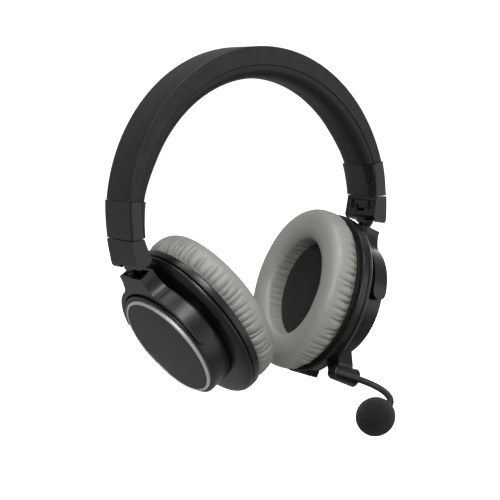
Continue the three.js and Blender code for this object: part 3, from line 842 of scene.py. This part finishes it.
def stub(side):
    """The middle knuckle, the funnel under it, and the post that goes down into the yoke."""
    foot = POCKET_FLOOR + 0.3 - DROP
    collar = COLLAR_TOP - DROP
    post = (STUB_OFFSET, 0)
    post_radius = 2.8
    half = 2.8
    clear = KNUCKLE_RADIUS + 0.25
    funnel = cut(
        rod("Z", collar - 0.5, -2.2, 3.1, post, 64, 4.6),
        block((STUB_OFFSET + 2.7, -6, -4.6), (12, 6, 0)),
        rod("Y", half, 6, clear, (0, 0), 64),
        rod("Y", -6, -half, clear, (0, 0), 64),
    )
    made = join(
        rod("Y", -half, half, KNUCKLE_RADIUS, (0, 0), 64),
        block((-1.2, -half, -5), (STUB_OFFSET + 2.6, half, -0.4)),
        rod("Z", foot, -3.4, post_radius, post, 64),
        funnel,
    )
    made = cut(
        made,
        rod("Y", -5, 5, PIN_HOLE_RADIUS),
        rod("Z", foot - 1, foot + 7.6, PIN_HOLE_RADIUS, post),
    )
    name = f"hinge_post_{side.name}"
    body = f"hinge_{side.name}"
    piece(name, made, side.folding, body, "gloss_black", [f"hinge_stub_{side.name}"], 0.15)


CORNER_ANGLE = math.atan2(*COLLAR_CORNER)
NECK_ANGLE = math.atan2(*NECK)


def yoke_reach(turn):
    """How far the yoke's outer edge is from the cup's centre, at an angle from straight up."""
    side_way = abs(turn)
    if side_way <= CORNER_ANGLE:
        return COLLAR_TOP / math.cos(turn)
    if side_way >= SHOULDER_ANGLE:
        return YOKE_OUTER
    neck = math.hypot(*NECK)
    if side_way < NECK_ANGLE:
        share = (side_way - CORNER_ANGLE) / (NECK_ANGLE - CORNER_ANGLE)
        return math.hypot(*COLLAR_CORNER) * (1 - share) + neck * share
    share = (side_way - NECK_ANGLE) / (SHOULDER_ANGLE - NECK_ANGLE)
    slope = -2.2 * (neck - YOKE_OUTER)
    bend = smoothstep(share, 0, 1)
    return neck + (YOKE_OUTER - neck) * bend + slope * share * (1 - share) ** 2


def yoke_turns():
    """The angles of the yoke's sections: close together at its ends, its neck and its collar."""
    low = math.radians(90 - 5.7)
    tip = low - 0.12
    arm = spaced(low, tip, 12)[:-1]
    arm += spaced(tip, SHOULDER_ANGLE, 40)[:-1]
    arm += spaced(SHOULDER_ANGLE, NECK_ANGLE, 20)
    return [*arm, *spaced(CORNER_ANGLE, -CORNER_ANGLE, 16), *[-turn for turn in reversed(arm)]]


def yoke(side):
    """The fork: a half ring with round ends, a collar on top with a pocket, and its pivot holes."""
    rings = []
    for turn in yoke_turns():
        outward = Vector((0, math.sin(turn), math.cos(turn)))
        level = outward.z * (YOKE_OUTER + YOKE_INNER) / 2
        short = max(0, PIVOT_HEIGHT - level)
        half = math.sqrt(max(0.02, YOKE_HALF_DEPTH**2 - short**2))
        inner = outward * YOKE_INNER
        outer = outward * yoke_reach(turn)
        out = Vector((half, 0, 0))
        rings.append([inner - out, outer - out, outer + out, inner + out])
    made = cut(
        lofted(rings),
        block((-3.2, -8.8, POCKET_FLOOR), (3.2, 8.8, 60)),
        rod("Z", 30, 40, PIN_HOLE_RADIUS),
        rod("Z", 30, 35.6, 2.9),
        rod("Y", -35.0, 35.0, 1.3, (0, PIVOT_HEIGHT), 32),
    )
    name = f"yoke_fork_{side.name}"
    piece(name, made, side.fork, f"fork_{side.name}", "satin_black", [f"yoke_{side.name}"], 0.4, 28)


# ------------------------------------------------------------------ ear cup


def cup_housing(side):
    """The turned shell: the turret, the groove under it, the flare and the lip's back."""
    groove = TURRET_RADIUS - 0.8
    flare = [(along, radius, 1.5) for along, radius in SHELL_FLARE[1:-1]]
    profile = rounded(
        [
            (DISC_FACE - 3, 0),
            (DISC_FACE - 3, 30.7, 0.2),
            (DISC_FACE - 1.5, 30.8, 0.2),
            (DISC_FACE - 1.8, TURRET_RADIUS, 0.5),
            (-6.8, TURRET_RADIUS, 0.35),
            (-6.9, groove),
            (-7.6, groove),
            (*SHELL_FLARE[0], 0.3),
            *flare,
            (*SHELL_FLARE[-1], 1.2),
            (LIP_BACK + 0.25, LIP_RADIUS - 0.3, 0.4),
            (LIP_BACK + 0.25, LIP_RADIUS - 2.1),
            (-12, LIP_RADIUS - 2.5),
            (-10.7, 38.9),
            (-9.6, 34.6),
            (-9.3, 30.3),
            (DISC_FACE - 4.6, 30.3),
            (DISC_FACE - 4.6, 0),
        ],
        closed=False,
    )
    shell = turned(profile, 200, (33, 40))
    shell = cut(shell, rod("Y", -40, 40, 1.5, (0, PIVOT_HEIGHT), 32))
    name = f"cup_housing_{side.name}"
    piece(name, shell, side.cup, f"cup_{side.name}", "satin_black", [f"cup_shell_{side.name}"])


def face_disc(side):
    disc = rounded(
        [
            (DISC_BACK, 0),
            (DISC_BACK, DISC_RADIUS),
            (DISC_FACE - 0.4, DISC_RADIUS, 0.35),
            (DISC_FACE - 0.4, 0),
        ],
        closed=False,
    )
    made = turned(disc, 180)
    stands_for = [f"outer_disc_{side.name}"]
    piece(f"disc_{side.name}", made, side.cup, f"cup_{side.name}", "disc_grey", stands_for)


def bright_ring(side):
    ring = rounded(
        [
            (DISC_BACK, RING_INNER),
            (DISC_BACK, RING_OUTER),
            (DISC_FACE - 0.8, RING_OUTER, 0.2),
            (DISC_FACE - 0.1, RING_OUTER - 0.4, 0.3),
            (DISC_FACE, RING_INNER, 0.15),
        ]
    )
    made = turned(ring, 180)
    stands_for = [f"trim_ring_{side.name}"]
    piece(f"bright_ring_{side.name}", made, side.cup, f"cup_{side.name}", "bright_trim", stands_for)


def cup_rim(side):
    rim = rounded(
        [
            (LIP_BACK - 0.3, LIP_RADIUS - 0.7, 0.2),
            (LIP_BACK - 0.7, LIP_RADIUS, 0.4),
            (LIP_FRONT, LIP_RADIUS, 1.0),
            (LIP_FRONT, 38.8, 0.3),
            (-15.6, 38.8),
            (-15.6, 37.4),
            (-14.4, 37.4),
            (-14.4, 40.2),
            (LIP_BACK - 0.3, 40.2),
        ]
    )
    made = turned(rim, 220, (20, 30))
    stands_for = [f"cup_rim_{side.name}"]
    piece(f"rim_{side.name}", made, side.cup, f"cup_{side.name}", "satin_black", stands_for)


def driver_plate(side):
    hole = 19.3
    carrier = rounded(
        [
            (-15.9, hole),
            (-15.9, 38.4),
            (LIP_FRONT, 38.4, 0.3),
            (LIP_FRONT, 22.6),
            (-22, 21.8),
            (-22, hole),
        ]
    )
    made = turned(carrier, 120, (hole, 21))
    name = f"driver_plate_{side.name}"
    stands_for = [f"baffle_{side.name}"]
    piece(name, made, side.cup, f"cup_{side.name}", "inner_plastic", stands_for)


def driver_cloth(side):
    """The cloth stretched over the driver plate, a little domed."""
    edge = 23.5
    dome = rounded([(-22.3, 0), (-22.3, edge), (-23, edge, 0.2), (-23.6, 17, 4), (-24.1, 0)], False)
    cloth = turned(dome, 120, (0, CUSHION_RADIUS), growth=CUSHION_OVAL)
    name = f"driver_cloth_{side.name}"
    stands_for = [f"speaker_cloth_{side.name}"]
    made = piece(name, cloth, side.cup, f"cup_{side.name}", "speaker_cloth", stands_for)


# ------------------------------------------------------------------ ear cushion


class Pleats:
    """Gathers sewn round a wall: sharp creases at uneven places with soft folds between them."""

    def __init__(self, count, depth, dice):
        self.pitch = 2 * math.pi / count
        self.creases = []
        for i in range(count):
            at = (i + dice.uniform(-0.3, 0.3)) * self.pitch
            strength = depth * dice.uniform(0.55, 1.1)
            reach = dice.uniform(0.8, 1.3)
            lean = dice.uniform(-0.3, 0.3) * self.pitch
            self.creases.append((at, strength, reach, lean))

    def shift(self, turn, along):
        """How far the wall stands out at a turn.

        along is 0 at the gathered seam and 1 where the wall is smooth.
        """
        total = 0
        nearest = round(turn / self.pitch)
        for i in range(nearest - 2, nearest + 3):
            at, strength, reach, lean = self.creases[i % len(self.creases)]
            away = (turn - at - lean * along + math.pi) % (2 * math.pi) - math.pi
            fade = 1 - smoothstep(along, 0.3 * reach, reach)
            total -= strength * fade * math.exp(-abs(away) / (0.2 * self.pitch))
        return total


def cushion_profile():
    """The cushion's (along, radius) points, from its back edge over the outside to the inside."""
    section = [(-17.9, 24.6), (-17.9, 30), (-17.9, 36.4), (-18.0, 37.0), (-18.4, 37.5)]
    section += [(-19.0, 38.1), (-20, 38.9), (-21, 39.5), (-22, 39.9), (-23, 40.2)]
    middle = 31.7
    for turn in spaced(0, math.pi / 2, 20):
        out = max(0, math.cos(turn))
        section.append((-24 - 11.2 * math.sin(turn) ** 0.78, middle + 8.6 * out**0.72))
    for turn in spaced(0, math.pi / 2, 14)[1:]:
        out = max(0, math.cos(turn))
        section.append((-29.0 - 6.2 * out**0.85, middle - 7.8 * math.sin(turn) ** 0.9))
    section += [(-27.6, 23.8), (-26, 23.8), (-24.4, 23.9)]
    section += [(-23.2, 24.0), (-21.5, 24.2), (-19.5, 24.4)]
    return section


def ear_cushion(side):
    dice = random.Random(PLEAT_SEED + len(side.name))
    outer = Pleats(72, 1.9, dice)
    inner = Pleats(46, 0.6, dice)
    profile = cushion_profile()
    drift = Vector((dice.random() * 40, dice.random() * 40, 0))

    def wave(i, turn):
        """Pleats on the outer and the inner wall, and a slow unevenness on the whole of the front."""
        along, radius = profile[i]
        where = Vector((3.2 * math.cos(turn), 3.2 * math.sin(turn), along * 0.08)) + drift
        total = 0.2 * noise.noise(where) * smoothstep(-along, 19, 23)
        if radius > 33:
            share = min(1.4, max(0, (-18.2 - along) / 12.5))
            total += outer.shift(turn, share) * smoothstep(-along, 17.8, 18.8)
        elif radius < 28:
            share = min(1.3, max(0, (-22.5 - along) / 9.5))
            total += inner.shift(turn, share) * smoothstep(-along, 21, 23.5)
        return total

    made = turned(profile, 936, (0, CUSHION_RADIUS), wave, CUSHION_OVAL)
    name = f"cushion_{side.name}"
    stands_for = [f"ear_cushion_{side.name}"]
    body = f"cup_{side.name}"
    made = piece(name, made, side.cup, body, "cushion_leatherette", stands_for, sharp=80)


# ------------------------------------------------------------------ boom microphone and cable inlet


def cup_outside():
    """The cup's outside grown a little, which pieces that stand on the cup are cut back to."""
    profile = [
        (DISC_FACE + 3, 0),
        (DISC_FACE + 3, TURRET_RADIUS + 0.05),
        (-7.4, TURRET_RADIUS + 0.05),
        *[(along + 0.05, radius + 0.05) for along, radius in SHELL_FLARE],
        (LIP_FRONT - 0.3, LIP_RADIUS + 0.05),
        (LIP_FRONT - 0.3, 0),
    ]
    return turned(profile, 160, (33, 40))


def swept(route, radius_at, steps=24):
    """A round tube along a row of points."""
    rings = []
    side_way = Vector((0, 0, 1))
    for i, here in enumerate(route):
        ahead = route[min(i + 1, len(route) - 1)] - route[max(i - 1, 0)]
        ahead.normalize()
        side_way = (side_way - ahead * side_way.dot(ahead)).normalized()
        up = ahead.cross(side_way)
        size = radius_at(i / (len(route) - 1))
        turns = [2 * math.pi * j / steps for j in range(steps)]
        rings.append([here + (side_way * math.cos(a) + up * math.sin(a)) * size for a in turns])
    return lofted(rings)


def curve(start, first, second, end, count):
    points = []
    for u in spaced(0, 1, count):
        v = 1 - u
        points.append(start * v**3 + first * 3 * v * v * u + second * 3 * v * u * u + end * u**3)
    return points


def on_barrel(made):
    """Moves a shape that is turned about X onto the barrel's own axis."""
    made.data.transform(Matrix.Translation((0, BARREL_Y, BARREL_Z)))
    return made


def mic_bracket(side):
    """The barrel with a round inner end, and the web that stands it on the cup."""
    reach = math.hypot(BARREL_Y, BARREL_Z)
    along = Vector((BARREL_Y, BARREL_Z)) / reach
    aside = Vector((-along.y, along.x))
    waist = [
        (29, -6.5),
        (35.6, -5.8, 3),
        (reach - 3.4, -4.9, 2),
        (reach, -2),
        (reach, 2),
        (reach - 3.4, 4.9, 2),
        (35.6, 5.8, 3),
        (29, 6.5),
    ]
    web = [along * p.x + aside * p.y for p in rounded(waist)]
    ball = [
        (BARREL_INNER, 0),
        (BARREL_INNER, BARREL_CAP_RADIUS, 3.8),
        (BARREL_OUTER, BARREL_RADIUS, 0.4),
    ]
    ball = [*rounded(ball, False, 10), Vector((BARREL_OUTER, 0))]
    barrel = on_barrel(turned([tuple(p) for p in ball], 72))
    made = join(barrel, plate(web, "X", -11, -1.1))
    bore_end = BARREL_OUTER - DRUM_LENGTH - 0.3
    bore = rod("X", bore_end, BARREL_OUTER + 1, DRUM_RADIUS + DRUM_GAP, (BARREL_Y, BARREL_Z), 64)
    made = cut(made, cup_outside(), bore)
    piece("mic_arm_bracket", made, side.cup, "cup_left", "satin_black", ["mic_bracket"], 0.25)


def mic_drum(side):
    drum = [
        (BARREL_OUTER - DRUM_LENGTH, 0),
        (BARREL_OUTER - DRUM_LENGTH, DRUM_RADIUS, 0.3),
        (BARREL_OUTER - 0.5, DRUM_RADIUS, 0.4),
        (BARREL_OUTER - 0.3, 2.9, 0.4),
        (BARREL_OUTER + 1.1, 2.4, 0.5),
        (BARREL_OUTER + 1.1, 0),
    ]
    made = on_barrel(turned([tuple(p) for p in rounded(drum, False)], 72))
    piece("mic_drum", made, side.cup, "microphone", "gloss_black", ["mic_swivel_drum"])


def boom(side):
    """The ribbed gooseneck, a little thicker where it leaves the drum."""
    start = Vector((BARREL_OUTER + 0.9, BARREL_Y, BARREL_Z))
    route = curve(
        start,
        start + Vector((9.1, 0, 0)),
        WINDSCREEN_AT - BOOM_END * 27.6,
        WINDSCREEN_AT - BOOM_END * 5.2,
        110,
    )

    def radius_at(share):
        ribs = 0.03 * math.sin(share * GOOSENECK_RIBS * 2 * math.pi)
        return GOOSENECK_RADIUS + ribs + 0.35 * (1 - smoothstep(share, 0, 0.06))

    made = swept(route, radius_at)
    piece("gooseneck_tube", made, side.cup, "microphone", "boom_rubber", ["gooseneck"])


def windscreen(side):
    """A foam ball with a fine grain and a rounded mouth where the boom goes in."""
    mesh = bpy.data.meshes.new("work")
    shape = bmesh.new()
    bmesh.ops.create_icosphere(shape, subdivisions=7, radius=1)
    for vert in shape.verts:
        way = vert.co.normalized()
        mouth = smoothstep(-way.y, 0.925, 0.99)
        dimple = 0.5 * smoothstep(-way.y, 0.8, 0.93) * (1 - mouth)
        grain = 0.16 * noise.noise(way * 14) + 0.1 * noise.noise(way * 30)
        grain += 0.07 * noise.noise(way * 60)
        size = WINDSCREEN_RADIUS + grain - dimple - 5.5 * mouth
        length = size * WINDSCREEN_LENGTH / WINDSCREEN_RADIUS
        vert.co = Vector((way.x * size, way.y * length, way.z * size))
    shape.to_mesh(mesh)
    shape.free()
    made = bpy.data.objects.new("work", mesh)
    bpy.context.scene.collection.objects.link(made)
    aim = Vector((0, 1, 0)).rotation_difference(BOOM_END).to_matrix().to_4x4()
    mesh.transform(Matrix.Translation(WINDSCREEN_AT) @ aim)
    made = piece("foam_windscreen", made, side.cup, "microphone", "foam", ["windscreen"], sharp=180)


def cable_inlet(side):
    """The housing of the cable's socket under the left cup, with the socket's hole."""
    housing = [
        (-14.8, -34),
        (-13.4, INLET_BOTTOM, 0.5),
        (-6.6, INLET_BOTTOM, 0.5),
        (4, -42.5, 3),
        (5, -34),
    ]
    made = plate(rounded(housing), "X", -17.2, -9.6)
    hole = rod("Z", INLET_BOTTOM - 1, INLET_BOTTOM + 0.8, 1.7, (-13.4, -10), 32)
    made = cut(made, cup_outside(), hole)
    piece("cable_socket", made, side.cup, "cup_left", "satin_black", ["cable_inlet"], 0.25)


# ------------------------------------------------------------------ the frame's own pieces


def keep_cad_pieces():
    """Gives every CAD node its material and soft edges. A replaced node gets them too."""
    slots = {part["node"]: part["material_slot"] for part in frame["record"]["subparts"]}
    for name, node in frame["nodes"].items():
        node.data.materials.clear()
        node.data.materials.append(MATERIALS[slots[name]])
        edge = node.modifiers.new("edges", "BEVEL")
        edge.width = 0.1 * MM
        edge.limit_method = "ANGLE"
        edge.angle_limit = math.radians(40)


# ------------------------------------------------------------------ stage, light and camera


def area_light(name, at, aim, size, power):
    data = bpy.data.lights.new(name, "AREA")
    data.shape = "SQUARE"
    data.size = size
    data.energy = power
    made = bpy.data.objects.new(name, data)
    bpy.context.scene.collection.objects.link(made)
    made.location = at
    made.rotation_euler = (Vector(aim) - Vector(at)).to_track_quat("-Z", "Y").to_euler()


def paper_bowl():
    """A white paper bowl round the object, in metres. Only the camera sees it."""
    level = cad_box[0][2] - 0.05
    reach = 2.5
    bend = 1.2
    wall_top = 3.5
    profile = [(0, 0), (reach, 0)]
    for turn in spaced(0, math.pi / 2, 12)[1:]:
        profile.append((reach + bend * math.sin(turn), bend * (1 - math.cos(turn))))
    profile.append((reach + bend, wall_top))
    steps = 72
    points = []
    for radius, height in profile:
        for j in range(steps):
            turn = 2 * math.pi * j / steps
            points.append((radius * math.cos(turn), radius * math.sin(turn), level + height))
    faces = []
    for i in range(len(profile) - 1):
        for j in range(steps):
            k = (j + 1) % steps
            faces.append([i * steps + j, i * steps + k, (i + 1) * steps + k, (i + 1) * steps + j])
    mesh = bpy.data.meshes.new("floor")
    mesh.from_pydata(points, [], faces)
    mesh.shade_smooth()
    floor = bpy.data.objects.new("floor", mesh)
    bpy.context.scene.collection.objects.link(floor)
    floor.visible_glossy = False
    floor.visible_diffuse = False
    floor.visible_shadow = False
    paper = Surface("floor_paper", grey(0.9), 0.9, Specular_IOR_Level=0.1)
    paper.set("Emission Color", (1, 1, 1, 1))
    paper.set("Emission Strength", 0.85)
    paper.bump(paper.noise(40, 3), 0.05)
    mesh.materials.append(paper.material)


def lighting():
    """An even white light from all round and five soft lights, in metres and watts."""
    world = bpy.data.worlds.new("studio")
    bpy.context.scene.world = world
    world.use_nodes = True
    backdrop = world.node_tree.nodes["Background"]
    backdrop.inputs["Color"].default_value = (1, 1, 1, 1)
    backdrop.inputs["Strength"].default_value = 0.4

    middle = (0, 0, -0.08)
    area_light("key", (-0.9, -1.1, 0.75), middle, 0.6, 13)
    area_light("strip", (0.1, -0.9, 1.2), middle, 0.35, 9)
    area_light("front", (0.95, -1.35, -0.1), middle, 1.2, 5)
    area_light("top", (0.1, 0.1, 1.4), middle, 0.7, 9)
    area_light("rim", (1.25, 0.75, -0.1), middle, 0.9, 4)


def camera():
    """The camera that the photograph's view was matched with, in millimetres and degrees."""
    yaw = math.radians(-34.99)
    rise = math.radians(9.42)
    roll = math.radians(-4.55)
    distance = 782.4
    aim = Vector((-4.06, 0, -92.5))
    right = Vector((math.cos(yaw), math.sin(yaw), 0))
    back = Vector((math.sin(yaw) * math.cos(rise), -math.cos(yaw) * math.cos(rise), math.sin(rise)))
    up = back.cross(right)
    x_axis = right * math.cos(roll) + up * math.sin(roll)
    y_axis = up * math.cos(roll) - right * math.sin(roll)
    turn = Matrix((x_axis, y_axis, back)).transposed().to_4x4()
    data = bpy.data.cameras.new("camera")
    data.sensor_width = 36
    data.lens = 103.35
    data.clip_start = 0.01
    made = bpy.data.objects.new("camera", data)
    bpy.context.scene.collection.objects.link(made)
    made.matrix_world = Matrix.Translation((aim + back * distance) * MM) @ turn
    bpy.context.scene.camera = made
    bpy.context.scene.view_settings.view_transform = "Standard"


ON_EACH_SIDE = [
    sleeve_outer,
    sleeve_inner,
    sleeve_screw,
    slider_housing,
    knuckle_cover,
    stub,
    yoke,
    cup_housing,
    face_disc,
    bright_ring,
    cup_rim,
    driver_plate,
    driver_cloth,
    ear_cushion,
]
ON_THE_LEFT = [mic_bracket, mic_drum, boom, windscreen, cable_inlet]

camera()
paper_bowl()
lighting()
keep_cad_pieces()
headband_cover()
headband_pad()
for one_side in SIDES:
    for build in ON_EACH_SIDE:
        build(one_side)
for build in ON_THE_LEFT:
    build(SIDES[0])
